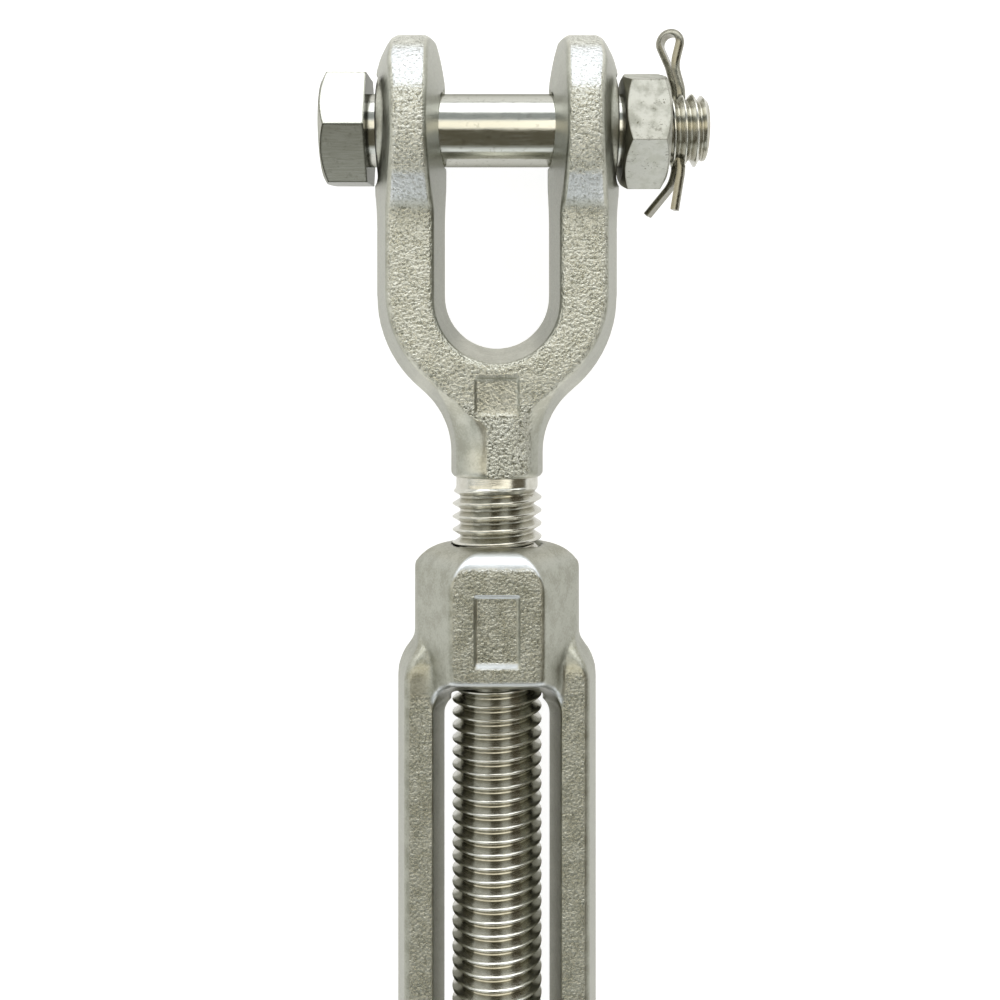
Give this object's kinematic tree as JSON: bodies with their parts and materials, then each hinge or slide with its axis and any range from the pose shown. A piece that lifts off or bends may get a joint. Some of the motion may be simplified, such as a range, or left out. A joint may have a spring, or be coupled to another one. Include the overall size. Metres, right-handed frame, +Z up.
{
  "type": "jaw and jaw turnbuckle",
  "caption": "Forged stainless open-body turnbuckle with a clevis jaw, cross bolt, nut and cotter pin at each end, for tensioning rigging.",
  "frame": {"origin": "under the middle of the body, on the surface that the part lies on", "axes": "+Y along the line of pull towards the upper jaw, +X along the jaw bolts, +Z up from the surface that the part lies on"},
  "size_m": [0.0738, 0.389, 0.0348],
  "materials": {
    "forged_body": "satin forged stainless with a rough grained front face",
    "forged_jaw": "satin forged stainless with a rough grained front face and a bright rolled screw",
    "bolt": "polished stainless",
    "nut": "matte stainless with small specks",
    "cotter_pin": "bright drawn stainless wire"
  },
  "bodies": {
    "turnbuckle_body": {"turnbuckle_body": "forged_body"},
    "upper_jaw": {"upper_jaw": "forged_jaw"},
    "lower_jaw": {"lower_jaw": "forged_jaw"},
    "upper_bolt_set": {"upper_bolt": "bolt", "upper_nut": "nut", "upper_cotter_pin": "cotter_pin"},
    "lower_bolt_set": {"lower_bolt": "bolt", "lower_nut": "nut", "lower_cotter_pin": "cotter_pin"}
  },
  "joints": [
    {"name": "upper_jaw_screw", "type": "slide", "parent": "turnbuckle_body", "child": "upper_jaw", "axis": [0, 1, 0], "range_m": [-0.0112, 0.0637]},
    {"name": "lower_jaw_screw", "type": "slide", "parent": "turnbuckle_body", "child": "lower_jaw", "axis": [0, -1, 0], "range_m": [-0.0112, 0.0637]},
    {"name": "upper_bolt_turn", "type": "hinge", "parent": "upper_jaw", "child": "upper_bolt_set", "pos_m": [0, 0.17621, 0.0174], "axis": [1, 0, 0], "continuous": true},
    {"name": "lower_bolt_turn", "type": "hinge", "parent": "lower_jaw", "child": "lower_bolt_set", "pos_m": [0, -0.17621, 0.0174], "axis": [1, 0, 0], "continuous": true}
  ],
  "couplings": [
    {"joint": "lower_jaw_screw", "follows": "upper_jaw_screw", "ratio": 1}
  ]
}
